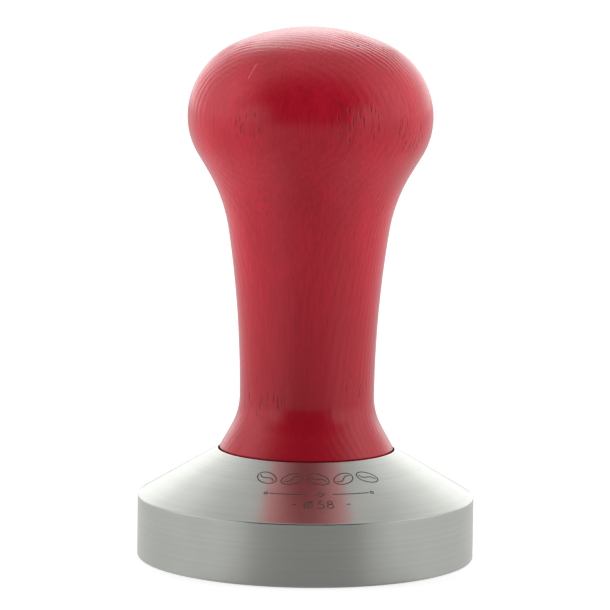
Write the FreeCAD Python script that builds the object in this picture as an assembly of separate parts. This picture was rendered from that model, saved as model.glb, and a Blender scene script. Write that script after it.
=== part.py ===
"""Espresso tamper: a turned hardwood handle that screws onto a 58 mm stainless steel tamping base.

Millimetres, +Z up, origin at the centre of the flat tamping face. Each sub-part goes to parts/NODE.step.
The handle and the base meet in a real M8 screw joint, so its threads are helical and in mesh at rest.
"""

import FreeCAD
import Part

import math
import os

from FreeCAD import Vector

# ---- tamping base: one piece of stainless steel, turned
BASE_R = 29.0  # a 58 mm tamper
SHOULDER_Z = 10.75  # top of the straight wall that runs in the filter basket
RIM_Z = 18.8  # top of the cone
RIM_R = 15.4  # where the cone meets the rim
RECESS_R = 15.2
RECESS_DEPTH = 2.4
FOOT_EDGE_ROUND = 0.4  # on the edge that meets the coffee
SHOULDER_ROUND = 0.3
RIM_ROUND = 0.1
TAPPED_HOLE_FLOOR_Z = 5.0  # where the drill's point begins

# ---- flat rubber washer between the wood and the steel
WASHER_R = 13.4
WASHER_HOLE_R = 4.4
WASHER_THICKNESS = 1.0

# ---- turned handle, from its foot up: flare, neck, shaft, throat, knob
HANDLE_TOP_CLIMB = 65.0  # degrees above level where the knob's shoulder turns into the flatter crown
KNOB_R = 21.0
KNOB_Z = 76.0  # height of the knob's widest ring
KNOB_SHOULDER_ARC = 13.8
KNOB_UNDER_ARC = 12.2
THROAT_LEAN = 31.0  # degrees from the vertical where the knob runs down into the throat
SHAFT_LEAN = 8.8  # degrees from the vertical at the top of the shaft
SHAFT_ARC = 187.0
NECK_R = 11.58
NECK_Z = 28.0
FLARE_ARC = 11.0
FLARE_LEAN = 29.0  # degrees from the vertical
FOOT_R = 14.95
FOOT_ROUND = 0.2
FOOT_TUCK = 60.0  # the rounded edge turns this far below level, and the foot goes straight down from there
FOOT_CHAMFER = 0.4

# ---- brass insert in the handle, with a coarse wood thread outside and M8 inside
INSERT_LENGTH = 16.0
INSERT_SUNK = 0.3  # below the face of the foot
INSERT_CORE_R = 5.4
INSERT_CREST_R = 6.5
INSERT_PITCH = 3.0
INSERT_CREST_WIDTH = 0.35
INSERT_SLOT_WIDTH = 1.8
INSERT_SLOT_DEPTH = 2.0
INSERT_CHAMFER = 0.5
WOOD_GAP = 0.05

# ---- M8 x 30 socket set screw that joins the two
M8_PITCH = 1.25
STUD_CREST_R = 3.95
STUD_ROOT_R = 3.18
STUD_LENGTH = 30.0
STUD_BOTTOM_Z = 6.6
STUD_CHAMFER = 0.7
SOCKET_ACROSS_FLATS = 4.0
SOCKET_DEPTH = 5.0
PILOT_R = 4.4
PILOT_TOP_Z = 38.0  # where the drill's point begins
NUT_ROOT_R = 4.05  # deepest part of the internal M8 thread
NUT_CREST_R = 3.32
FLANK_GAP = 0.09  # play along Z between the M8 flanks, on each side
THREAD_HALF_ANGLE = 30.0
COUNTERSINK_R = 4.35
COUNTERSINK_DEPTH = 1.3
DRILL_POINT_SLOPE = 31.0  # degrees above level, for a 118 degree drill

RECESS_FLOOR_Z = RIM_Z - RECESS_DEPTH
FOOT_Z = RECESS_FLOOR_Z + WASHER_THICKNESS
INSERT_Z = FOOT_Z + INSERT_SUNK
THREAD_BITE = 0.15  # how far a thread ridge reaches into its core, so that the two fuse
TRIM = 0.02  # how far a trimming cylinder stays outside a thread's crests
OVERRUN = 1.0  # how far a cutting tool runs past the face that it enters
SAME = 1e-4  # sizes closer than this are the same


def at_angle(degrees):
    """Cosine and sine of an angle in degrees."""
    return math.cos(math.radians(degrees)), math.sin(math.radians(degrees))


def point(r, z):
    """A point of a turned outline, in the plane y = 0."""
    return Vector(r, 0, z)


def arc(centre_r, centre_z, radius, start, end):
    """An arc of a turned outline, between two angles in degrees above level, outward from the axis."""
    stops = [at_angle(a) for a in (start, (start + end) / 2, end)]
    return Part.Arc(*[point(centre_r + radius * c, centre_z + radius * s) for c, s in stops]).toShape()


def turned(edges):
    """A solid of revolution from the edges of an outline whose open side lies on the axis."""
    first, last = edges[0].firstVertex(True).Point, edges[-1].lastVertex(True).Point
    closing = [Part.makeLine(point(0, last.z), point(0, first.z))]
    for end in (first, last):
        if end.x > SAME:
            closing.append(Part.makeLine(end, point(0, end.z)))
    outline = Part.Wire(Part.__sortEdges__(edges + closing))
    return Part.Face(outline).revolve(Vector(0, 0, 0), Vector(0, 0, 1), 360)


def turned_polygon(corners):
    """A solid of revolution from straight lines through (r, z) corners."""
    points = [point(*c) for c in corners]
    return turned([Part.makeLine(a, b) for a, b in zip(points, points[1:])])


def cylinder(radius, bottom, top):
    return Part.makeCylinder(radius, top - bottom, point(0, bottom))


def threaded_rod(core_r, crest_r, crest_width, pitch, bottom, top):
    """A core with a right-hand helical ridge of 60 degree flanks, too long at both ends, to be trimmed.

    The middle of the ridge crosses the +X side at whole pitches from z = 0, so all M8 threads are in mesh.
    """
    root_r = core_r - THREAD_BITE
    half_crest = crest_width / 2
    half_root = half_crest + (crest_r - root_r) * math.tan(math.radians(THREAD_HALF_ANGLE))
    start = (math.floor(bottom / pitch) - 1) * pitch
    turns = math.ceil((top - start) / pitch) + 1
    helix = Part.makeHelix(pitch, turns * pitch, (root_r + crest_r) / 2)
    helix.translate(Vector(0, 0, start))
    corners = [
        point(root_r, start - half_root),
        point(crest_r, start - half_crest),
        point(crest_r, start + half_crest),
        point(root_r, start + half_root),
    ]
    section = Part.makePolygon(corners + corners[:1])
    thread = Part.Wire(helix.Edges).makePipeShell([section], True, True)
    return cylinder(core_r, start - 2 * pitch, start + (turns + 2) * pitch).fuse(thread)


def m8_crest_width(radius):
    """Width of the stud's thread at a radius."""
    return M8_PITCH / 8 + 2 * (STUD_CREST_R - radius) * math.tan(math.radians(THREAD_HALF_ANGLE))


def m8_tap(bottom, top):
    """What an M8 tap takes out of a solid, with running play round the stud's thread."""
    width = m8_crest_width(NUT_ROOT_R) + 2 * FLANK_GAP
    rod = threaded_rod(NUT_CREST_R, NUT_ROOT_R, width, M8_PITCH, bottom, top)
    return rod.common(cylinder(NUT_ROOT_R + OVERRUN, bottom, top))


def countersink(mouth_z, inward):
    """The 45 degree chamfer at the mouth of an M8 hole that goes down (inward = -1) or up (inward = 1)."""
    tip_r = COUNTERSINK_R - COUNTERSINK_DEPTH
    corners = [
        (COUNTERSINK_R, mouth_z - inward * M8_PITCH),
        (COUNTERSINK_R, mouth_z),
        (tip_r, mouth_z + inward * COUNTERSINK_DEPTH),
    ]
    return turned_polygon(corners)


def drilled_hole(radius, mouth_z, end_z):
    """What a drill takes out from the mouth to where its point begins, with the point beyond."""
    slope_cos, slope_sin = at_angle(DRILL_POINT_SLOPE)
    point_depth = math.copysign(radius * slope_sin / slope_cos, end_z - mouth_z)
    return turned_polygon([(0, end_z + point_depth), (radius, end_z), (radius, mouth_z)])


def circles_at(shape, radius, z):
    """The circular edges of a shape with a given radius and height."""
    found = []
    for edge in shape.Edges:
        round_edge = isinstance(edge.Curve, Part.Circle) and abs(edge.Curve.Radius - radius) < SAME
        if round_edge and abs(edge.Curve.Center.z - z) < SAME:
            found.append(edge)
    return found


def tamping_base():
    """Disc with a conical top, a recess for the handle's foot and a blind M8 hole."""
    disc = turned_polygon([(0, 0), (BASE_R, 0), (BASE_R, SHOULDER_Z), (RIM_R, RIM_Z), (0, RIM_Z)])
    disc = disc.cut(cylinder(RECESS_R, RECESS_FLOOR_Z, RIM_Z + OVERRUN))
    disc = disc.makeFillet(FOOT_EDGE_ROUND, circles_at(disc, BASE_R, 0))
    disc = disc.makeFillet(SHOULDER_ROUND, circles_at(disc, BASE_R, SHOULDER_Z))
    disc = disc.makeFillet(RIM_ROUND, circles_at(disc, RECESS_R, RIM_Z))
    disc = disc.cut(drilled_hole(NUT_CREST_R, RECESS_FLOOR_Z + OVERRUN, TAPPED_HOLE_FLOOR_Z))
    disc = disc.cut(m8_tap(TAPPED_HOLE_FLOOR_Z + M8_PITCH, RECESS_FLOOR_Z + 2 * M8_PITCH))
    return disc.cut(countersink(RECESS_FLOOR_Z, -1))


def foot_washer():
    """Flat washer that the wood bears on. It stays in the foot's grip and rises with the handle."""
    body = cylinder(WASHER_R, RECESS_FLOOR_Z, FOOT_Z)
    return body.cut(cylinder(WASHER_HOLE_R, RECESS_FLOOR_Z - OVERRUN, FOOT_Z + OVERRUN))


def handle_outline():
    """The outline from the foot to the top of the crown. The throat's radius follows from its tangents."""
    shaft_cos, shaft_sin = at_angle(SHAFT_LEAN)
    throat_cos, throat_sin = at_angle(THROAT_LEAN)
    flare_cos, flare_sin = at_angle(FLARE_LEAN)
    throat_slope = throat_sin / throat_cos
    flare_slope = flare_sin / flare_cos

    # The flare is an arc from the neck to its full lean, then straight down to the rounded edge of the foot.
    flare_r = NECK_R + FLARE_ARC * (1 - flare_cos)
    flare_z = NECK_Z - FLARE_ARC * flare_sin
    edge_centre_r = FOOT_R - FOOT_ROUND
    edge_r = edge_centre_r + FOOT_ROUND * flare_cos
    edge_z = flare_z - (edge_r - flare_r) / flare_slope
    edge_centre_z = edge_z - FOOT_ROUND * flare_sin
    tuck_cos, tuck_sin = at_angle(FOOT_TUCK)
    tuck_r = edge_centre_r + FOOT_ROUND * tuck_cos
    tuck_z = edge_centre_z - FOOT_ROUND * tuck_sin

    # The shaft swells on a long arc, and the throat joins it to the underside of the knob.
    shaft_top_r = NECK_R + SHAFT_ARC * (1 - shaft_cos)
    shaft_top_z = NECK_Z + SHAFT_ARC * shaft_sin
    under_r = KNOB_R - KNOB_UNDER_ARC * (1 - throat_cos)
    under_z = KNOB_Z - KNOB_UNDER_ARC * throat_sin
    miss = under_r - shaft_top_r - throat_slope * (under_z - shaft_top_z)
    throat_arc = miss / (shaft_cos - throat_cos - throat_slope * (throat_sin - shaft_sin))
    throat_r = shaft_top_r + throat_arc * (shaft_cos - throat_cos)
    throat_z = shaft_top_z + throat_arc * (throat_sin - shaft_sin)

    # The crown's centre is on the axis, in line with the shoulder's centre and the point where they meet.
    shoulder_r = KNOB_R - KNOB_SHOULDER_ARC
    climb_cos, climb_sin = at_angle(HANDLE_TOP_CLIMB)
    crown_z = KNOB_Z - shoulder_r * climb_sin / climb_cos
    crown_arc = KNOB_SHOULDER_ARC + shoulder_r / climb_cos
    print("throat arc", round(throat_arc, 2), "crown arc", round(crown_arc, 2))

    return [
        Part.makeLine(point(tuck_r - FOOT_CHAMFER, FOOT_Z), point(tuck_r, FOOT_Z + FOOT_CHAMFER)),
        Part.makeLine(point(tuck_r, FOOT_Z + FOOT_CHAMFER), point(tuck_r, tuck_z)),
        arc(edge_centre_r, edge_centre_z, FOOT_ROUND, -FOOT_TUCK, FLARE_LEAN),
        Part.makeLine(point(edge_r, edge_z), point(flare_r, flare_z)),
        arc(NECK_R + FLARE_ARC, NECK_Z, FLARE_ARC, 180 + FLARE_LEAN, 180),
        arc(NECK_R + SHAFT_ARC, NECK_Z, SHAFT_ARC, 180, 180 - SHAFT_LEAN),
        arc(
            shaft_top_r + throat_arc * shaft_cos,
            shaft_top_z - throat_arc * shaft_sin,
            throat_arc,
            180 - SHAFT_LEAN,
            180 - THROAT_LEAN,
        ),
        Part.makeLine(point(throat_r, throat_z), point(under_r, under_z)),
        arc(KNOB_R - KNOB_UNDER_ARC, KNOB_Z, KNOB_UNDER_ARC, -THROAT_LEAN, 0),
        arc(shoulder_r, KNOB_Z, KNOB_SHOULDER_ARC, 0, HANDLE_TOP_CLIMB),
        arc(0, crown_z, crown_arc, HANDLE_TOP_CLIMB, 90),
    ]


def insert_rod(gap):
    """Core and coarse thread of the insert, to be trimmed. A gap widens it for the hole in the wood."""
    core_r, crest_r = INSERT_CORE_R + gap, INSERT_CREST_R + gap
    width = INSERT_CREST_WIDTH + 2 * gap
    return threaded_rod(core_r, crest_r, width, INSERT_PITCH, INSERT_Z, INSERT_Z + INSERT_LENGTH)


def chamfered_cylinder(radius, chamfer, bottom, top):
    """A cylinder with both rims chamfered. It trims a thread to its length, clear of the crests."""
    low_r = radius - chamfer
    wide_r = radius + TRIM
    end = chamfer + TRIM
    return turned_polygon([(low_r, bottom), (wide_r, bottom + end), (wide_r, top - end), (low_r, top)])


def wooden_handle():
    """Turned handle with the bore that its insert has cut into it."""
    body = turned(handle_outline())
    top = INSERT_Z + INSERT_LENGTH + WOOD_GAP
    crest_r = INSERT_CREST_R + WOOD_GAP
    bore = insert_rod(WOOD_GAP).common(cylinder(crest_r + OVERRUN, FOOT_Z - OVERRUN, top))
    mouth = chamfered_cylinder(crest_r, INSERT_CHAMFER, FOOT_Z - OVERRUN, INSERT_Z + INSERT_CHAMFER)
    pilot = drilled_hole(PILOT_R, FOOT_Z - 2 * OVERRUN, PILOT_TOP_Z)
    for tool in (bore, mouth, pilot):
        body = body.cut(tool)
    return body


def threaded_insert():
    """Slotted brass insert."""
    top = INSERT_Z + INSERT_LENGTH
    body = insert_rod(0).common(chamfered_cylinder(INSERT_CREST_R, INSERT_CHAMFER, INSERT_Z, top))
    body = body.cut(m8_tap(INSERT_Z - 2 * M8_PITCH, top + 2 * M8_PITCH))
    body = body.cut(countersink(INSERT_Z, 1))
    slot = Part.makeBox(
        4 * INSERT_CREST_R,
        INSERT_SLOT_WIDTH,
        2 * INSERT_SLOT_DEPTH,
        Vector(-2 * INSERT_CREST_R, -INSERT_SLOT_WIDTH / 2, INSERT_Z - INSERT_SLOT_DEPTH),
    )
    return body.cut(slot)


def connecting_stud():
    """M8 set screw with a hexagon socket in its lower end."""
    bottom, top = STUD_BOTTOM_Z, STUD_BOTTOM_Z + STUD_LENGTH
    rod = threaded_rod(STUD_ROOT_R, STUD_CREST_R, m8_crest_width(STUD_CREST_R), M8_PITCH, bottom, top)
    body = rod.common(chamfered_cylinder(STUD_CREST_R, STUD_CHAMFER, bottom, top))
    corner_r = SOCKET_ACROSS_FLATS / math.sqrt(3)
    around = [at_angle(angle) for angle in range(0, 420, 60)]
    corners = [Vector(corner_r * c, corner_r * s, bottom - OVERRUN) for c, s in around]
    socket = Part.Face(Part.makePolygon(corners)).extrude(Vector(0, 0, SOCKET_DEPTH + OVERRUN))
    return body.cut(socket)


SUB_PARTS = {
    "tamping_base": tamping_base,
    "foot_washer": foot_washer,
    "wooden_handle": wooden_handle,
    "threaded_insert": threaded_insert,
    "connecting_stud": connecting_stud,
}


def main():
    os.makedirs("parts", exist_ok=True)
    for name, make in SUB_PARTS.items():
        (solid,) = make().Solids
        box = solid.optimalBoundingBox(True, False)
        print(name, "valid", solid.isValid(), "volume", round(solid.Volume, 1))
        print("   z from", round(box.ZMin, 3), "to", round(box.ZMax, 3), "width", round(box.XLength, 3))
        solid.exportStep(f"parts/{name}.step")


main()
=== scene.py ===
"""Looks of the espresso tamper: red-stained turned wood on a fine-turned stainless steel base.

Outlines are written in millimetres as (radius, height) and scaled to metres when a mesh is made.
"""

import itertools
import math

import bpy
import numpy as np
from mathutils import Matrix, Vector


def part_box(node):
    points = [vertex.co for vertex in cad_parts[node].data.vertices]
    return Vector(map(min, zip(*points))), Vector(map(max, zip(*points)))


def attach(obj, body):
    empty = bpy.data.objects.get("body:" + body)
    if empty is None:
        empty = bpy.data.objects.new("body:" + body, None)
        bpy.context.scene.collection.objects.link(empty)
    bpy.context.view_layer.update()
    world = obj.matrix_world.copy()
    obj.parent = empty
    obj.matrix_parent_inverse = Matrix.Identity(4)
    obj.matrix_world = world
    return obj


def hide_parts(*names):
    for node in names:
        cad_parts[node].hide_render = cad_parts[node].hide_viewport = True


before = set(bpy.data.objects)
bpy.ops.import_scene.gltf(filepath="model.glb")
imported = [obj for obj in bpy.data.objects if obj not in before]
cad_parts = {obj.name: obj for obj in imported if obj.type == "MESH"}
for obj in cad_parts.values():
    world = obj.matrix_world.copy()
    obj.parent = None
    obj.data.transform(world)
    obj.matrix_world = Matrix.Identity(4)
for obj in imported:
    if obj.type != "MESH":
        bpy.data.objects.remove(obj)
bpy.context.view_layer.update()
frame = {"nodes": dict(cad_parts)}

MM = 0.001
RING_ATTRIBUTE = "ring_depth"
OPEN_ATTRIBUTE = "open_grain"


def node_mm(node):
    """Greatest radius, lowest and highest height of a turned CAD node, in millimetres."""
    low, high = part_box(node)
    return high.x / MM, low.z / MM, high.z / MM


BASE_R, BASE_BOTTOM_Z, RIM_Z = node_mm("tamping_base")
KNOB_R, FOOT_Z, _ = node_mm("wooden_handle")
_, RECESS_FLOOR_Z, _ = node_mm("foot_washer")
INSERT_R, _, INSERT_TOP_Z = node_mm("threaded_insert")

# ---- tamping base
SHOULDER_Z = 10.75
RIM_R = 15.4
RECESS_R = 15.2
EDGE_ROUND = 0.4
SHOULDER_ROUND = 0.3
RIM_ROUND = 0.1
LIP_ROUND = 0.35  # eases the edge between the cone and the rim
COUNTERSINK_R = 4.35
HOLE_FLOOR_Z = 5.0
M8_PITCH = 1.25
M8_ROOT_R = 4.05
M8_CREST_R = 3.32
M8_GROOVE_FLAT = 0.22  # width of the groove at its deepest
M8_THREAD_BOTTOM_Z = HOLE_FLOOR_Z + M8_PITCH
THREAD_HALF_ANGLE = 30
DRILL_POINT = 2.0

# ---- handle outline
KNOB_Z = 76.0
SHOULDER_ARC = 13.8
UNDER_ARC = 12.2
CROWN_CLIMB = 65.0
THROAT_LEAN = 31.0
SHAFT_LEAN = 8.8
SHAFT_ARC = 187.0
NECK_R = 11.58
NECK_Z = 28.0
FLARE_ARC = 11.0
FLARE_LEAN = 29.0
FOOT_R = 14.95
FOOT_ROUND = 0.2
FOOT_TUCK = 60.0
FOOT_CHAMFER = 0.4
PILOT_R = 4.4
PILOT_TOP_Z = 38.0
PILOT_POINT = 2.6  # height of the drill's point above it
BORE_GAP = 0.06
HANDLE_COLUMNS = 440

# ---- wood grain
RING_FACE = (-0.40, -0.913, 0.08)  # from the heart of the tree outwards, square to the growth rings
RING_SPACING = 1.05
PITH_DISTANCE = 55.0  # from the handle's axis to the heart of the tree
PLAIN_RELIEF = 0.006  # depth of the soft early wood below the hard late wood, where the wood is sanded smooth
OPEN_RELIEF = 0.085  # the same where the grain stands open
FIBRE_RELIEF = 0.012
OPEN_GRAIN = (  # where the rings stand out: middle and reach
    ((6.9, -19.8, 76.5), 7.0),
    ((17.2, -12.0, 75.5), 7.0),
    ((-19.5, -5.0, 80.0), 11.0),
    ((-13.0, -7.0, 87.5), 9.0),
    ((9.0, -7.0, 89.0), 11.0),
    ((3.0, 19.0, 80.0), 14.0),
)
OPEN_PORES = (  # where the vessels are cut open: middle and reach
    ((8.2, -19.2, 76.0), 6.0),
    ((17.2, -12.0, 75.0), 6.0),
    ((-10.4, -18.2, 75.6), 4.0),
    ((-2.0, 20.5, 78.0), 8.0),
    ((-7.6, -9.2, 28.5), 6.0),
    ((8.6, -8.4, 31.5), 4.5),
    ((4.0, 12.0, 45.0), 9.0),
)
NOISE_CELLS = 64
NOISE_TABLE = np.random.default_rng(5).uniform(-1, 1, (NOISE_CELLS,) * 3)

PAINTED_SHADE_TOP_Z = 62.0  # painted shade: the colour darkens from here down to the foot, for the shade under the overhanging knob

# ---- small marks on the knob
SCRATCH = ((-10.5, -15.5, 83.6), (-9.2, -14.1, 85.9))  # its two ends
SCRATCH_WIDTH = 0.26
PITS = (  # place and radius
    ((7.8, -9.4, 88.9), 0.46),
    ((8.4, -3.5, 90.0), 0.2),
    ((12.0, -5.4, 88.4), 0.2),
    ((-4.7, -17.9, 83.8), 0.16),
)

# ---- stain, painted shade and a painted highlight, as linear red, green, blue and alpha
PALE_STAIN = (0.84, 0.014, 0.046, 1)
DEEP_STAIN = (0.62, 0.008, 0.027, 1)
FOOT_PAINTED_SHADE = (0.46, 0.006, 0.020, 1)
RING_STAIN = (0.34, 0.004, 0.014, 1)
VESSEL_STAIN = (0.20, 0.003, 0.010, 1)
PIT_COLOUR = (0.02, 0.002, 0.004, 1)
# painted highlight: the pale pink of the scratch stands in for the light caught on its ridge
SCRATCH_HIGHLIGHT_COLOUR = (0.98, 0.16, 0.22, 1)
LONG_VESSELS = (0.6, 0.32, 2.0)  # spacing, width and length
SHORT_VESSELS = (0.42, 0.2, 1.2)

# ---- etched size mark on the cone: rows by their height up the slope from the shoulder
MARK_TURN = 6.2  # degrees to the right of the front
BEAN_ROW = 11.5
RULE_ROW = 7.6
SIZE_ROW = 5.0
MARK_LINE = 0.2
MARK_PROUD = 0.012
MARK_SUNK = -0.03  # its underside, below the surface of the cone
BEAN_LONG_R, BEAN_SHORT_R = 1.9, 1.25
BEAN_SPACING = 4.4
BEAN_TILT = 28
FIGURE_HEIGHT = 1.8


# ======================================================================= turned meshes


def cos_sin(degrees):
    return math.cos(math.radians(degrees)), math.sin(math.radians(degrees))


def line(start, end, step):
    """Points after start, up to end, evenly spaced."""
    count = max(1, round(math.dist(start, end) / step))
    return [tuple(a + (b - a) * i / count for a, b in zip(start, end)) for i in range(1, count + 1)]


def arc(centre, radius, start, end, step):
    """Points after the first of an arc between two angles, in degrees above level."""
    count = max(3, round(math.radians(abs(end - start)) * radius / step))
    points = []
    for i in range(1, count + 1):
        c, s = cos_sin(start + (end - start) * i / count)
        points.append((centre[0] + radius * c, centre[1] + radius * s))
    return points


def flat(start, end, step, support=0.06):
    """A straight stretch with a close row at each end, which keeps its shading flat up to the edge."""
    length = math.dist(start, end)
    shares = (support / length, 1 - support / length)
    near, far = [tuple(a + (b - a) * share for a, b in zip(start, end)) for share in shares]
    return [near, *line(near, far, step), end]


def turn(name, rows, columns, shape=None):
    """A closed mesh turned from (radius, height) rows. The first and last rows lie on the axis.

    shape(radius, height, angle) may move the points of the inner rows: it takes and returns arrays.
    """
    rows = np.array(rows, float)
    inner = rows[1:-1]
    angle = np.arange(columns) * 2 * math.pi / columns
    radius = np.repeat(inner[:, :1], columns, 1)
    height = np.repeat(inner[:, 1:], columns, 1)
    angles = np.repeat(angle[None, :], len(inner), 0)
    if shape:
        radius, height = shape(radius, height, angles)
    ring = np.stack([radius * np.cos(angles), radius * np.sin(angles), height], -1).reshape(-1, 3)
    ends = np.array([[0, 0, rows[0, 1]], [0, 0, rows[-1, 1]]])
    points = np.concatenate([ring, ends]) * MM

    index = np.arange(len(inner) * columns).reshape(len(inner), columns)
    after = np.roll(index, -1, 1)
    quads = np.stack([index[:-1], after[:-1], after[1:], index[1:]], -1).reshape(-1, 4)
    first, last = len(ring), len(ring) + 1
    faces = quads.tolist()
    faces += [[first, b, a] for a, b in zip(index[0], after[0])]
    faces += [[last, a, b] for a, b in zip(index[-1], after[-1])]

    mesh = bpy.data.meshes.new(name)
    mesh.from_pydata(points.tolist(), [], faces)
    mesh.shade_smooth()
    mesh.update()
    piece = bpy.data.objects.new(name, mesh)
    bpy.context.scene.collection.objects.link(piece)
    return piece


# ======================================================================= tamping base


def base_rows():
    """Outline of the base, from the middle of its flat face round the outside to the bottom of its hole."""
    slope = math.degrees(math.atan2(RIM_Z - SHOULDER_Z, BASE_R - RIM_R))
    bend = 90 - slope
    setback = SHOULDER_ROUND * math.tan(math.radians(bend / 2))
    slope_cos, slope_sin = cos_sin(slope)
    cone_foot = (BASE_R - setback * slope_cos, SHOULDER_Z + setback * slope_sin)

    rows = [(0, BASE_BOTTOM_Z)]
    rows += flat(rows[-1], (BASE_R - EDGE_ROUND, BASE_BOTTOM_Z), 1.5)
    rows += arc((BASE_R - EDGE_ROUND, BASE_BOTTOM_Z + EDGE_ROUND), EDGE_ROUND, -90, 0, 0.07)
    rows += flat(rows[-1], (BASE_R, SHOULDER_Z - setback), 0.8)
    rows += arc((BASE_R - SHOULDER_ROUND, SHOULDER_Z - setback), SHOULDER_ROUND, 0, bend, 0.05)
    lip_setback = LIP_ROUND * math.tan(math.radians(slope / 2))
    cone_top = (RIM_R + lip_setback * slope_cos, RIM_Z - lip_setback * slope_sin)
    rows += flat(cone_foot, cone_top, 0.8)
    rows += arc((RIM_R - lip_setback, RIM_Z - LIP_ROUND), LIP_ROUND, 90 - slope, 90, 0.04)
    rows.append((RECESS_R + RIM_ROUND, RIM_Z))
    rows += arc((RECESS_R + RIM_ROUND, RIM_Z - RIM_ROUND), RIM_ROUND, 90, 180, 0.04)
    rows += flat(rows[-1], (RECESS_R, RECESS_FLOOR_Z), 0.6)
    rows += flat(rows[-1], (COUNTERSINK_R, RECESS_FLOOR_Z), 1.0)
    rows += line(rows[-1], (M8_CREST_R, RECESS_FLOOR_Z - COUNTERSINK_R + M8_CREST_R), 0.08)
    rows += line(rows[-1], (M8_CREST_R, M8_THREAD_BOTTOM_Z), 0.09)
    rows += line(rows[-1], (M8_CREST_R, HOLE_FLOOR_Z), 0.4)
    rows += line(rows[-1], (0, HOLE_FLOOR_Z - DRILL_POINT), 0.6)
    return rows


def cut_thread(radius, height, angle):
    """Cuts the helical M8 groove into the wall of the hole."""
    turns = (height / M8_PITCH - angle / (2 * math.pi)) % 1.0
    from_middle = np.minimum(turns, 1 - turns) * M8_PITCH
    climb = np.maximum(0, from_middle - M8_GROOVE_FLAT / 2) / math.tan(math.radians(THREAD_HALF_ANGLE))
    groove = np.maximum(M8_CREST_R, M8_ROOT_R - climb)
    in_hole = (radius < COUNTERSINK_R - 0.01) & (height < RECESS_FLOOR_Z) & (height > M8_THREAD_BOTTOM_Z)
    return np.where(in_hole, np.maximum(radius, groove), radius), height


# ======================================================================= handle


def handle_rows():
    """Outline of the handle, from the tip of its pilot hole down the bore and up the outside."""
    shaft_cos, shaft_sin = cos_sin(SHAFT_LEAN)
    throat_cos, throat_sin = cos_sin(THROAT_LEAN)
    flare_cos, flare_sin = cos_sin(FLARE_LEAN)
    throat_slope = throat_sin / throat_cos

    flare = (NECK_R + FLARE_ARC * (1 - flare_cos), NECK_Z - FLARE_ARC * flare_sin)
    edge_centre_r = FOOT_R - FOOT_ROUND
    edge_r = edge_centre_r + FOOT_ROUND * flare_cos
    edge_z = flare[1] - (edge_r - flare[0]) * flare_cos / flare_sin
    edge_centre_z = edge_z - FOOT_ROUND * flare_sin
    tuck_cos, tuck_sin = cos_sin(FOOT_TUCK)
    tuck = (edge_centre_r + FOOT_ROUND * tuck_cos, edge_centre_z - FOOT_ROUND * tuck_sin)
    shaft_top = (NECK_R + SHAFT_ARC * (1 - shaft_cos), NECK_Z + SHAFT_ARC * shaft_sin)
    under = (KNOB_R - UNDER_ARC * (1 - throat_cos), KNOB_Z - UNDER_ARC * throat_sin)
    miss = under[0] - shaft_top[0] - throat_slope * (under[1] - shaft_top[1])
    throat_arc = miss / (shaft_cos - throat_cos - throat_slope * (throat_sin - shaft_sin))
    throat_centre = (shaft_top[0] + throat_arc * shaft_cos, shaft_top[1] - throat_arc * shaft_sin)
    shoulder_r = KNOB_R - SHOULDER_ARC
    climb_cos, climb_sin = cos_sin(CROWN_CLIMB)
    crown_arc = SHOULDER_ARC + shoulder_r / climb_cos

    bore_r = INSERT_R + BORE_GAP
    bore_top_z = INSERT_TOP_Z + BORE_GAP
    rows = [(0, PILOT_TOP_Z + PILOT_POINT)]
    rows += line(rows[-1], (PILOT_R, PILOT_TOP_Z), 1.0)
    rows += line(rows[-1], (PILOT_R, bore_top_z), 1.0)
    rows += line(rows[-1], (bore_r, bore_top_z), 1.0)
    rows += line(rows[-1], (bore_r, FOOT_Z), 2.0)
    rows += flat(rows[-1], (tuck[0] - FOOT_CHAMFER, FOOT_Z), 1.5)
    rows += flat(rows[-1], (tuck[0], FOOT_Z + FOOT_CHAMFER), 0.2, 0.03)
    rows += line(rows[-1], tuck, 0.4)
    rows += arc((edge_centre_r, edge_centre_z), FOOT_ROUND, -FOOT_TUCK, FLARE_LEAN, 0.05)
    rows += line(rows[-1], flare, 0.6)
    rows += arc((NECK_R + FLARE_ARC, NECK_Z), FLARE_ARC, 180 + FLARE_LEAN, 180, 0.55)
    rows += arc((NECK_R + SHAFT_ARC, NECK_Z), SHAFT_ARC, 180, 180 - SHAFT_LEAN, 0.8)
    rows += arc(throat_centre, throat_arc, 180 - SHAFT_LEAN, 180 - THROAT_LEAN, 0.6)
    rows += line(rows[-1], under, 0.4)
    rows += arc((KNOB_R - UNDER_ARC, KNOB_Z), UNDER_ARC, -THROAT_LEAN, 0, 0.35)
    rows += arc((shoulder_r, KNOB_Z), SHOULDER_ARC, 0, CROWN_CLIMB, 0.33)
    crown_centre_z = KNOB_Z - shoulder_r * climb_sin / climb_cos
    rows += arc((0, crown_centre_z), crown_arc, CROWN_CLIMB, 90, 0.33)
    return rows


def soft_noise(x, y, z):
    """A smooth random field from -1 to 1, with features about one unit across."""
    cells = [np.floor(c).astype(int) for c in (x, y, z)]
    parts = [c - cell for c, cell in zip((x, y, z), cells)]
    parts = [part * part * (3 - 2 * part) for part in parts]
    total = np.zeros_like(x)
    for corner in itertools.product((0, 1), repeat=3):
        weight = np.prod([part if step else 1 - part for part, step in zip(parts, corner)], axis=0)
        total += weight * NOISE_TABLE[tuple((cell + step) % NOISE_CELLS for cell, step in zip(cells, corner))]
    return total


def openness(x, y, z):
    """1 in the middle of a patch of open grain and 0 beyond its reach."""
    most = np.zeros_like(x)
    for (px, py, pz), reach in OPEN_GRAIN:
        near = np.clip(1.4 * (1 - np.sqrt((x - px) ** 2 + (y - py) ** 2 + (z - pz) ** 2) / reach), 0, 1)
        most = np.maximum(most, near * near * (3 - 2 * near))
    return most


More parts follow.
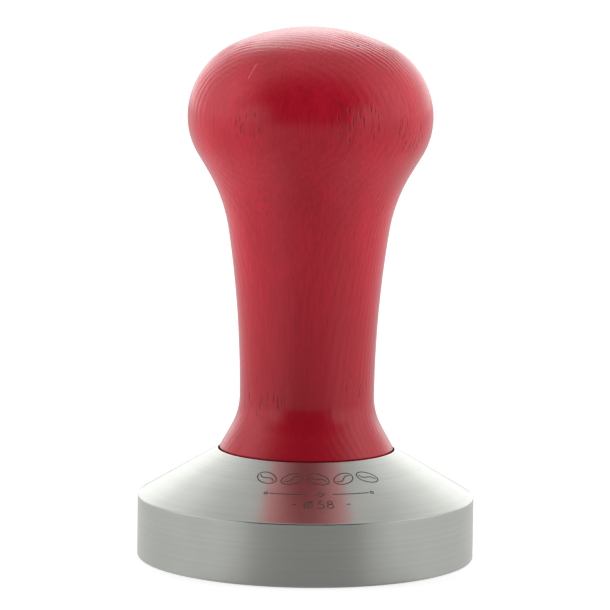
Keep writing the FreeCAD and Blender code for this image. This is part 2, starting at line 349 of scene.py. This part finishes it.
def ring_depth(points):
    """How far points are from the heart of the tree, along slightly wavy growth rings."""
    face = np.array(RING_FACE) / np.linalg.norm(RING_FACE)
    grain = np.array([0, 0, 1.0]) - face[2] * face
    grain /= np.linalg.norm(grain)
    away = points + face * PITH_DISTANCE
    away = away - (away @ grain)[..., None] * grain
    x, y, z = np.moveaxis(points, -1, 0)
    slow = 0.3 * np.sin(0.19 * x - 0.11 * y + 0.02 * z + 0.4) + 0.2 * np.sin(0.31 * y + 0.05 * z + 2.0)
    quick = 0.22 * soft_noise(0.55 * x + 9, 0.55 * y + 4, 0.14 * z)
    return np.linalg.norm(away, axis=-1) + slow + quick


def fibre_relief(x, y, z):
    """Fine ridges that run up the grain, from -1 to 1."""
    return 0.5 * soft_noise(0.9 * x, 0.9 * y, 0.09 * z) + 0.5 * soft_noise(2.1 * x + 5, 2.1 * y, 0.16 * z)


def carve_grain(radius, height, angle):
    """Lowers the soft early wood of each ring and the furrows between fibres below the turned outline."""
    x, y = radius * np.cos(angle), radius * np.sin(angle)
    phase = 2 * math.pi * ring_depth(np.stack([x, y, height], -1)) / RING_SPACING
    soft = (0.5 + 0.5 * np.cos(phase + 0.6 * np.sin(phase))) ** 2
    patchy = np.clip(0.75 + 0.9 * soft_noise(0.28 * x, 0.28 * y, 0.16 * height), 0.15, 1.3)
    open_grain = openness(x, y, height)
    rings = (PLAIN_RELIEF + (OPEN_RELIEF - PLAIN_RELIEF) * open_grain) * soft * patchy
    fibres = FIBRE_RELIEF * (0.15 + 0.85 * open_grain) * (1 - fibre_relief(x, y, height))
    outside = (radius > PILOT_R + INSERT_R) | (height > KNOB_Z)
    fade = np.clip((height - RIM_Z) / (FOOT_R - NECK_R), 0, 1)
    depth = np.where(outside, (rings + fibres) * fade, 0)
    along_r, along_z = np.gradient(radius, axis=0), np.gradient(height, axis=0)
    length = np.maximum(np.hypot(along_r, along_z), 1e-9)
    return radius - depth * along_z / length, height + depth * along_r / length


# ======================================================================= etched mark


def oval(centre, long_r, short_r, tilt=0.0, start=0.0, end=360.0, count=40):
    """Points round an oval, or along a part of it. The angles are in degrees."""
    tilt_cos, tilt_sin = cos_sin(tilt)
    points = []
    for i in range(count + 1):
        c, s = cos_sin(start + (end - start) * i / count)
        x, y = long_r * c, short_r * s
        points.append((centre[0] + x * tilt_cos - y * tilt_sin, centre[1] + x * tilt_sin + y * tilt_cos))
    return points


def bean(centre, tilt):
    """A coffee bean: an outline and a crease that bends both ways."""
    tilt_cos, tilt_sin = cos_sin(tilt)
    crease = []
    for i in range(21):
        x = BEAN_LONG_R * 0.8 * (i / 10 - 1)
        y = 0.3 * math.sin(math.pi * x / (BEAN_LONG_R * 0.8))
        crease.append((centre[0] + x * tilt_cos - y * tilt_sin, centre[1] + x * tilt_sin + y * tilt_cos))
    return [oval(centre, BEAN_LONG_R, BEAN_SHORT_R, tilt), crease]


def digit_five(left, size):
    """The figure 5, size high, standing on 0."""
    bowl_r = 0.31 * size
    middle = left + 0.3 * size
    bowl = oval((middle, bowl_r), bowl_r, bowl_r, 0, 125, -145, 24)
    corner = (bowl[0][0], size)
    return [line((left + 0.62 * size, size), corner, 0.2), line(corner, bowl[0], 0.2), bowl]


def digit_eight(left, size):
    """The figure 8, size high, standing on 0."""
    low_r, high_r = 0.28 * size, 0.22 * size
    middle = left + low_r
    return [
        oval((middle, low_r), low_r, low_r),
        oval((middle, size - high_r), high_r, high_r),
    ]


def mark_strokes():
    """The mark's strokes, each with its row, as (across, up) points about the middle of the row."""
    strokes = []
    for i in range(5):
        tilt = BEAN_TILT if i % 2 else -BEAN_TILT
        strokes += [(BEAN_ROW, stroke) for stroke in bean(((i - 2) * BEAN_SPACING, 0), tilt)]

    strokes.append((RULE_ROW, oval((0, 0), 0.75, 0.5, 0, 0, 360, 4)))
    for side in (-1, 1):
        strokes.append((RULE_ROW, line((side * 1.6, 0), (side * 8.6, 0), 0.5)))
        strokes.append((RULE_ROW, oval((side * 9.2, 0), 0.28, 0.28, 0, 0, 360, 16)))

    size = FIGURE_HEIGHT
    figures = [oval((-2.2, size / 2), 0.68, 0.68), [(-2.95, 0.0), (-1.45, size)]]
    figures += digit_five(-0.7, size)
    figures += digit_eight(0.95, size)
    strokes += [(SIZE_ROW, [(x, y - size / 2) for x, y in figure]) for figure in figures]
    for side in (-1, 1):
        strokes.append((SIZE_ROW, line((side * 3.9, 0), (side * 5.0, 0), 0.4)))
    return strokes


def stroke_solid(row, points, first):
    """A thin closed ribbon wrapped on the front of the cone. Its vertices are numbered from first."""
    slope = math.atan2(RIM_Z - SHOULDER_Z, BASE_R - RIM_R)
    row_r = BASE_R - row * math.cos(slope)
    vertices = []
    for i, (x, y) in enumerate(points):
        before, after = points[max(i - 1, 0)], points[min(i + 1, len(points) - 1)]
        if points[0] == points[-1] and i in (0, len(points) - 1):
            before, after = points[-2], points[1]
        along = Vector(after) - Vector(before)
        along.normalize()
        side = Vector((-along.y, along.x)) * MARK_LINE / 2
        for offset, lift in ((1, MARK_SUNK), (1, MARK_PROUD), (-1, MARK_PROUD), (-1, MARK_SUNK)):
            up = row + y + offset * side.y
            radius = BASE_R - up * math.cos(slope) + lift * math.sin(slope)
            height = SHOULDER_Z + up * math.sin(slope) + lift * math.cos(slope)
            angle = math.radians(MARK_TURN - 90) + (x + offset * side.x) / row_r
            vertices.append((radius * math.cos(angle) * MM, radius * math.sin(angle) * MM, height * MM))
    faces = []
    for i in range(len(points) - 1):
        low = first + 4 * i
        faces += [[low + k, low + (k + 1) % 4, low + 4 + (k + 1) % 4, low + 4 + k] for k in range(4)]
    last = first + 4 * (len(points) - 1)
    faces += [[first + 3, first + 2, first + 1, first], [last, last + 1, last + 2, last + 3]]
    return vertices, faces


# ======================================================================= materials


class Nodes:
    """Short forms for building a material's node tree."""

    def __init__(self, name):
        self.material = bpy.data.materials.new(name)
        self.material.use_nodes = True
        self.tree = self.material.node_tree
        self.shader = self.tree.nodes["Principled BSDF"]

    @classmethod
    def for_tree(cls, tree):
        """The same short forms for another node tree."""
        nodes = cls.__new__(cls)
        nodes.tree = tree
        return nodes

    def add(self, kind, settings=None, **inputs):
        """A new node. settings are its properties, and inputs are values or sockets by name or number."""
        node = self.tree.nodes.new(kind)
        for key, value in (settings or {}).items():
            setattr(node, key, value)
        for key, value in inputs.items():
            self.put(node, int(key[1:]) if key[0] == "_" else key.replace("_", " "), value)
        return node

    def put(self, node, key, value):
        if isinstance(value, bpy.types.NodeSocket):
            self.tree.links.new(value, node.inputs[key])
        else:
            node.inputs[key].default_value = value

    def maths(self, operation, a, b=0.0, c=0.0):
        return self.add("ShaderNodeMath", {"operation": operation}, _0=a, _1=b, _2=c).outputs[0]

    def vector(self, operation, a, b=(0, 0, 0)):
        return self.add("ShaderNodeVectorMath", {"operation": operation}, _0=a, _1=b).outputs[0]

    def measure(self, operation, a, b=(0, 0, 0)):
        """A number from one or two vectors: their length, distance or dot product."""
        return self.add("ShaderNodeVectorMath", {"operation": operation}, _0=a, _1=b).outputs["Value"]

    def ramp(self, value, low, high, start=0.0, end=1.0, smooth=True):
        """value from low..high taken to start..end and held there."""
        kind = "SMOOTHSTEP" if smooth else "LINEAR"
        node = self.add("ShaderNodeMapRange", {"interpolation_type": kind, "clamp": True})
        ends = {"From Min": low, "From Max": high, "To Min": start, "To Max": end}
        for key, number in {"Value": value, **ends}.items():
            self.put(node, key, number)
        return node.outputs[0]

    def mix(self, amount, first, second):
        node = self.add("ShaderNodeMix", {"data_type": "RGBA"})
        for key, value in zip((0, 6, 7), (amount, first, second)):
            self.put(node, key, value)
        return node.outputs[2]

    def noise(self, where, scale, detail=3.0, roughness=0.5):
        settings = {"noise_dimensions": "3D"}
        inputs = {"Vector": where, "Scale": scale, "Detail": detail, "Roughness": roughness}
        return self.add("ShaderNodeTexNoise", settings, **inputs).outputs[0]

    def place_mm(self):
        """The point on the surface, in millimetres in the object's frame."""
        where = self.add("ShaderNodeTexCoord").outputs["Object"]
        return self.vector("MULTIPLY", where, (1 / MM, 1 / MM, 1 / MM))

    def bump(self, height, distance_mm):
        """Bump from a height that goes from 0 to 1."""
        node = self.add("ShaderNodeBump", Strength=1.0, Distance=distance_mm * MM, Height=height)
        return node.outputs[0]

    def surface(self, **inputs):
        for key, value in inputs.items():
            self.put(self.shader, key.replace("_", " "), value)
        return self.material


def turned_steel(name, colour, roughness, anisotropy):
    """Stainless steel with fine marks round its axis."""
    n = Nodes(name)
    where = n.place_mm()
    across = n.add("ShaderNodeSeparateXYZ", _0=where)
    radius = n.measure("LENGTH", n.vector("MULTIPLY", where, (1, 1, 0)))
    marks = n.add("ShaderNodeCombineXYZ", _0=radius, _1=across.outputs[2]).outputs[0]
    fine = n.noise(marks, 9.0, 4.0, 0.7)
    broad = n.noise(marks, 1.2, 2.0, 0.5)
    cloudy = n.noise(where, 0.12, 3.0, 0.6)
    tone = n.maths("ADD", n.maths("MULTIPLY", broad, 0.6), n.maths("MULTIPLY", cloudy, 0.4))
    dark = [c * 0.94 for c in colour]
    colour_out = n.mix(n.ramp(tone, 0.3, 0.7), (*dark, 1), (*colour, 1))
    rough_out = n.ramp(n.maths("ADD", fine, cloudy), 0.6, 1.4, roughness * 0.92, roughness * 1.08)
    tangent = n.add("ShaderNodeTangent", {"direction_type": "RADIAL", "axis": "Z"}).outputs[0]
    return n.surface(
        Base_Color=colour_out,
        Metallic=1.0,
        Roughness=rough_out,
        Anisotropic=anisotropy,
        Anisotropic_Rotation=0.25,
        Tangent=tangent,
        Normal=n.bump(fine, 0.002),
    )


def grain_bands(n):
    """1 in the soft early wood of each growth ring and 0 in the hard late wood."""
    depth = n.add("ShaderNodeAttribute", {"attribute_name": RING_ATTRIBUTE}).outputs["Fac"]
    phase = n.maths("FRACT", n.maths("DIVIDE", depth, RING_SPACING))
    start = n.ramp(phase, 0.0, 0.12)
    end = n.ramp(phase, 0.3, 0.62, 1.0, 0.0)
    return n.maths("ADD", n.maths("MULTIPLY", start, end), n.ramp(phase, 0.86, 1.0, 0.0, 0.4))


def pores(n, where, open_here, spacing, width, length):
    """Short dark vessels that run up the grain, where it is open."""
    vessel = n.vector("MULTIPLY", where, (1 / spacing, 1 / spacing, width / spacing / length))
    cells = n.add("ShaderNodeTexVoronoi", {"feature": "F1"}, Vector=vessel, Scale=1.0, Randomness=1.0)
    inside = n.ramp(cells.outputs["Distance"], 0.35 * width / spacing, 0.62 * width / spacing, 1.0, 0.0)
    chosen = n.ramp(n.add("ShaderNodeSeparateColor", Color=cells.outputs["Color"]).outputs[0], 0.4, 0.5)
    return n.maths("MULTIPLY", inside, n.maths("MULTIPLY", chosen, open_here))


def near_line(n, where, start, end, width):
    """1 on a straight line between two points and 0 beyond its width."""
    start, end = Vector(start), Vector(end)
    way = end - start
    offset = n.vector("SUBTRACT", where, tuple(start))
    share = n.measure("DOT_PRODUCT", offset, tuple(way / way.length_squared))
    share = n.add("ShaderNodeClamp", _0=share).outputs[0]
    foot = n.add("ShaderNodeVectorMath", {"operation": "SCALE"}, _0=tuple(way), Scale=share).outputs[0]
    return n.ramp(n.measure("DISTANCE", offset, foot), 0.0, width, 1.0, 0.0)


def near_point(n, where, point, radius):
    """1 near a point and 0 beyond a radius."""
    return n.ramp(n.measure("DISTANCE", where, point), 0.5 * radius, radius, 1.0, 0.0)


def stained_wood():
    """Open-grained wood under a red stain and satin lacquer."""
    n = Nodes("stained_wood")
    where = n.place_mm()
    bands = grain_bands(n)
    fibre = n.noise(n.vector("MULTIPLY", where, (6.0, 6.0, 0.35)), 1.0, 4.0, 0.65)
    streak = n.noise(n.vector("MULTIPLY", where, (2.2, 2.2, 0.12)), 1.0, 3.0, 0.6)
    patch = n.noise(n.vector("MULTIPLY", where, (1.0, 1.0, 0.3)), 0.12, 2.0, 0.5)
    tone = n.maths("ADD", n.maths("MULTIPLY", fibre, 0.2), n.maths("MULTIPLY", streak, 0.4))
    tone = n.maths("ADD", tone, n.maths("MULTIPLY", patch, 0.4))
    stain = n.mix(n.ramp(tone, 0.35, 0.65), DEEP_STAIN, PALE_STAIN)
    open_rings = n.add("ShaderNodeAttribute", {"attribute_name": OPEN_ATTRIBUTE}).outputs["Fac"]
    contrast = n.ramp(open_rings, 0.0, 1.0, 0.06, 0.30)
    stain = n.mix(n.maths("MULTIPLY", bands, contrast), stain, RING_STAIN)
    height = n.add("ShaderNodeSeparateXYZ", _0=where).outputs[2]
    # painted shade: the wood is darkened from the lower knob down to the foot, standing in for the shade
    # under the knob
    stain = n.mix(n.ramp(height, FOOT_Z, PAINTED_SHADE_TOP_Z, 0.65, 0.0), stain, FOOT_PAINTED_SHADE)
    open_here = 0.0
    for point, reach in OPEN_PORES:
        open_here = n.maths("MAXIMUM", open_here, near_point(n, where, point, reach))
    open_here = n.ramp(n.maths("ADD", open_here, n.maths("MULTIPLY", patch, 0.4)), 0.5, 1.1)
    long_vessels = pores(n, where, open_here, *LONG_VESSELS)
    short_vessels = pores(n, where, open_here, *SHORT_VESSELS)
    vessels = n.maths("MAXIMUM", long_vessels, short_vessels)
    pits = 0.0
    for point, radius in PITS:
        pits = n.maths("MAXIMUM", pits, near_point(n, where, point, radius))
    stain = n.mix(n.maths("MULTIPLY", vessels, 0.5), stain, VESSEL_STAIN)
    stain = n.mix(pits, stain, PIT_COLOUR)
    scratch = near_line(n, where, *SCRATCH, SCRATCH_WIDTH)
    # the scratch: its groove is a real bump, and its pale pink colour is a painted highlight along its ridge
    stain = n.mix(n.maths("MULTIPLY", scratch, 0.7), stain, SCRATCH_HIGHLIGHT_COLOUR)

    relief = n.maths("ADD", n.maths("MULTIPLY", fibre, 0.15), n.maths("MULTIPLY", streak, 0.4))
    relief = n.maths("SUBTRACT", relief, n.maths("MULTIPLY", bands, 0.25))
    relief = n.maths("SUBTRACT", relief, n.maths("MULTIPLY", vessels, 0.9))
    relief = n.maths("SUBTRACT", relief, n.maths("MAXIMUM", scratch, pits))
    normal = n.bump(relief, 0.045)
    open_grain = n.maths("MAXIMUM", n.maths("MULTIPLY", bands, 0.4), n.maths("MAXIMUM", vessels, pits))
    return n.surface(
        Base_Color=stain,
        Roughness=n.ramp(open_grain, 0.0, 1.0, 0.36, 0.6),
        Normal=normal,
        Specular_IOR_Level=0.05,
        Coat_Weight=0.9,
        Coat_Roughness=0.22,
        Coat_IOR=1.5,
        Coat_Normal=normal,
    )


def dark_etching():
    """Oxidised lines etched into the steel."""
    n = Nodes("dark_etching")
    grain = n.noise(n.place_mm(), 8.0, 3.0, 0.6)
    return n.surface(
        Base_Color=n.mix(grain, (0.060, 0.048, 0.040, 1), (0.11, 0.092, 0.078, 1)),
        Roughness=n.ramp(grain, 0.3, 0.7, 0.5, 0.7),
    )


def plain_metal(name, colour, roughness):
    """Machined metal with faint uneven marks."""
    n = Nodes(name)
    where = n.place_mm()
    grain = n.noise(where, 3.0, 4.0, 0.6)
    dark = [c * 0.8 for c in colour]
    return n.surface(
        Base_Color=n.mix(n.ramp(grain, 0.35, 0.65), (*dark, 1), (*colour, 1)),
        Metallic=1.0,
        Roughness=n.ramp(grain, 0.3, 0.7, roughness * 0.85, roughness * 1.15),
        Normal=n.bump(grain, 0.006),
    )


# black rubber for the foot washer; its black also stands in for the shade in the gap between the wood's foot
# and the steel rim
def black_rubber_gap_shade():
    n = Nodes("black_rubber_gap_shade")
    where = n.place_mm()
    grain = n.noise(where, 6.0, 3.0, 0.6)
    return n.surface(
        Base_Color=n.mix(grain, (0.012, 0.012, 0.012, 1), (0.03, 0.03, 0.03, 1)),
        Roughness=n.ramp(grain, 0.3, 0.7, 0.6, 0.8),
        Normal=n.bump(grain, 0.02),
    )


def paint(piece, material):
    piece.data.materials.clear()
    piece.data.materials.append(material)


# ======================================================================= pieces


def build_base():
    base = turn("turned_base", base_rows(), 360, cut_thread)
    paint(base, turned_steel("turned_steel", (0.60, 0.615, 0.575), 0.24, 0.7))
    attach(base, "base")
    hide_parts("tamping_base")


def build_handle():
    handle = turn("turned_handle", handle_rows(), HANDLE_COLUMNS, carve_grain)
    points = np.array([v.co for v in handle.data.vertices]) / MM
    for name, values in ((RING_ATTRIBUTE, ring_depth(points)), (OPEN_ATTRIBUTE, openness(*points.T))):
        layer = handle.data.attributes.new(name, "FLOAT", "POINT")
        layer.data.foreach_set("value", values.astype(np.float32))
    paint(handle, stained_wood())
    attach(handle, "handle")
    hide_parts("wooden_handle")


def build_mark():
    vertices, faces = [], []
    for row, points in mark_strokes():
        more, skins = stroke_solid(row, points, len(vertices))
        vertices += more
        faces += skins
    mesh = bpy.data.meshes.new("size_mark")
    mesh.from_pydata(vertices, [], faces)
    mesh.update()
    mark = bpy.data.objects.new("size_mark", mesh)
    bpy.context.scene.collection.objects.link(mark)
    paint(mark, dark_etching())
    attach(mark, "base")


def finish_cad_nodes():
    nodes = frame["nodes"]
    paint(nodes["threaded_insert"], plain_metal("machined_brass", (0.72, 0.50, 0.20), 0.3))
    paint(nodes["connecting_stud"], plain_metal("stud_metal", (0.42, 0.42, 0.43), 0.35))
    # the washer's black rubber also darkens the joint's gap as painted shade
    paint(nodes["foot_washer"], black_rubber_gap_shade())


# ======================================================================= floor, light and camera

CAMERA_AIM = (-0.53, 0.0, 43.61)
CAMERA_DISTANCE = 700.0
CAMERA_ELEVATION = 7.5
CAMERA_ROLL = 0.75
CAMERA_LENS = 240.7
SENSOR = 36.0
FLOOR_R = 6000.0
FLOOR_TOP_Z, FLOOR_BOTTOM_Z = -0.02, -4
FLOOR_GLOW_WAY = (-0.08, 0.997, 0.0)  # the way along the floor from its dark part to its bright part
BACK_LAMP = (0.0, 0.84, 0.54)  # direction of the brightest part of the room
SIDE_PANEL = (0.81, -0.57, 0.12)  # direction of the pale panel on the right, mirrored for the left
SOFTBOX_X, SOFTBOX_Z = 500, 150
SOFTBOX_SIZE = (460, 460)
SOFTBOX_RADIANCE = 1.6
OBJECT_CENTRE = (0, 0, 45)

# ---- brightness by direction: from and to along the direction, and from and to in brightness
FLOOR_GLOW = (-1.02, -0.66, 0.28, 0.555)
LAMP_GLOW = (0.93, 0.99, 0.0, 1.2)
PANEL_GLOW = (0.94, 0.985, 0.0, 0.8)
WALL_GLOW = (-0.75, 0.05, 0.03, 0.70)
SIDE_WALL_RISE = (-0.5, -0.1, 0.0, 0.35)
SIDE_WALL_FALL = (0.1, 0.5, 1.0, 0.0)
BACK_WALL_GLOW = (0.3, 0.7, 0.0, 0.25)
BACKDROP_GLOW = (0.6, 0.9, 0.0, 0.42)
BACKDROP_TOP = (0.3, 0.6, 1.0, 0.0)
CEILING_DIM = (0.5, 1.0, 1.0, 0.6)
FLOOR_SEEN_GLOW = 0.60  # how brightly the floor shows to the camera
ROOM_SEEN_GLOW = 1.1


def build_camera():
    up_cos, up_sin = cos_sin(CAMERA_ELEVATION)
    forward = Vector((0, up_cos, -up_sin))
    level_right = Vector((1, 0, 0))
    level_up = level_right.cross(forward)
    roll_cos, roll_sin = cos_sin(CAMERA_ROLL)
    right = level_right * roll_cos + level_up * roll_sin
    up = level_up * roll_cos - level_right * roll_sin
    eye = (Vector(CAMERA_AIM) - forward * CAMERA_DISTANCE) * MM

    data = bpy.data.cameras.new("camera")
    data.sensor_width = SENSOR
    data.lens = CAMERA_LENS
    data.clip_start = 0.01
    data.clip_end = 20
    camera = bpy.data.objects.new("camera", data)
    camera.matrix_world = Matrix.Translation(eye) @ Matrix((right, up, -forward)).transposed().to_4x4()
    bpy.context.scene.collection.objects.link(camera)
    bpy.context.scene.camera = camera


def soft_light(name, place_mm, aim_mm, size_mm, radiance):
    """A rectangular softbox that faces a point. A radiance of 1 is as bright as the white background."""
    data = bpy.data.lights.new(name, "AREA")
    data.shape = "RECTANGLE"
    data.size, data.size_y = (s * MM for s in size_mm)
    data.energy = radiance * math.pi * data.size * data.size_y
    light = bpy.data.objects.new(name, data)
    light.location = Vector(place_mm) * MM
    light.rotation_euler = (Vector(aim_mm) - Vector(place_mm)).to_track_quat("-Z", "Y").to_euler()
    light.visible_camera = False
    light.visible_glossy = False
    bpy.context.scene.collection.objects.link(light)


def build_floor():
    """A wide plain floor, level with the tamping face. It shows white, and its glow follows the room's."""
    rows = [(0, FLOOR_BOTTOM_Z), (FLOOR_R, FLOOR_BOTTOM_Z)]
    rows += [(radius, FLOOR_TOP_Z) for radius in (FLOOR_R, 200, 60, 0)]
    floor = turn("floor", rows, 96)
    n = Nodes("pale_floor")
    where = n.place_mm()
    grain = n.noise(where, 0.05, 2.0, 0.5)
    seen = n.add("ShaderNodeLightPath").outputs["Is Camera Ray"]
    way = n.measure("DOT_PRODUCT", n.vector("NORMALIZE", where), FLOOR_GLOW_WAY)
    seen_tone = n.mix(grain, (0.78, 0.78, 0.78, 1), (0.80, 0.80, 0.80, 1))
    tone = n.mix(seen, (0.10, 0.10, 0.10, 1), seen_tone)
    unseen_glow = n.maths("MULTIPLY", n.ramp(way, *FLOOR_GLOW), n.maths("SUBTRACT", 1.0, seen))
    glow = n.maths("ADD", n.maths("MULTIPLY", seen, FLOOR_SEEN_GLOW), unseen_glow)
    white = (1, 1, 1, 1)
    n.surface(Base_Color=tone, Roughness=0.9, Emission_Color=white, Emission_Strength=glow)
    paint(floor, n.material)


def build_world():
    """A room that shows white, and that lights the object from behind, above and both sides."""
    world = bpy.data.worlds.new("studio")
    bpy.context.scene.world = world
    world.use_nodes = True
    n = Nodes.for_tree(world.node_tree)
    direction = n.add("ShaderNodeTexCoord").outputs["Generated"]
    way = n.add("ShaderNodeSeparateXYZ", _0=direction)
    toward_back, up = way.outputs[1], way.outputs[2]
    lamp = n.ramp(n.measure("DOT_PRODUCT", direction, BACK_LAMP), *LAMP_GLOW)
    mirrored = n.vector("ABSOLUTE", n.vector("MULTIPLY", direction, (1, 0, 0)))
    mirrored = n.vector("ADD", mirrored, n.vector("MULTIPLY", direction, (0, 1, 1)))
    panels = n.ramp(n.measure("DOT_PRODUCT", mirrored, SIDE_PANEL), *PANEL_GLOW)
    walls = n.ramp(toward_back, *WALL_GLOW)
    backdrop = n.maths("MULTIPLY", n.ramp(toward_back, *BACKDROP_GLOW), n.ramp(up, *BACKDROP_TOP))
    back_wall = n.maths("ADD", n.ramp(toward_back, *BACK_WALL_GLOW), backdrop)
    rise, fall = n.ramp(toward_back, *SIDE_WALL_RISE), n.ramp(toward_back, *SIDE_WALL_FALL)
    side_wall = n.maths("MULTIPLY", rise, fall)
    walls = n.maths("ADD", walls, n.maths("ADD", side_wall, back_wall))
    lit = n.maths("MULTIPLY", walls, n.ramp(up, *CEILING_DIM))
    room = n.maths("ADD", lit, n.maths("ADD", lamp, panels))
    seen = n.add("ShaderNodeLightPath").outputs["Is Camera Ray"]
    shader = n.tree.nodes["Background"]
    n.put(shader, "Strength", n.maths("MAXIMUM", room, n.maths("MULTIPLY", seen, ROOM_SEEN_GLOW)))
    n.put(shader, "Color", (1, 1, 1, 1))


def build_lights():
    for side in (-1, 1):
        place = (side * SOFTBOX_X, 0, SOFTBOX_Z)
        soft_light(f"side_softbox_{side + 1}", place, OBJECT_CENTRE, SOFTBOX_SIZE, SOFTBOX_RADIANCE)


def main():
    build_base()
    build_handle()
    build_mark()
    finish_cad_nodes()
    build_floor()
    build_world()
    build_lights()
    build_camera()
    bpy.context.scene.view_settings.view_transform = "Standard"


main()
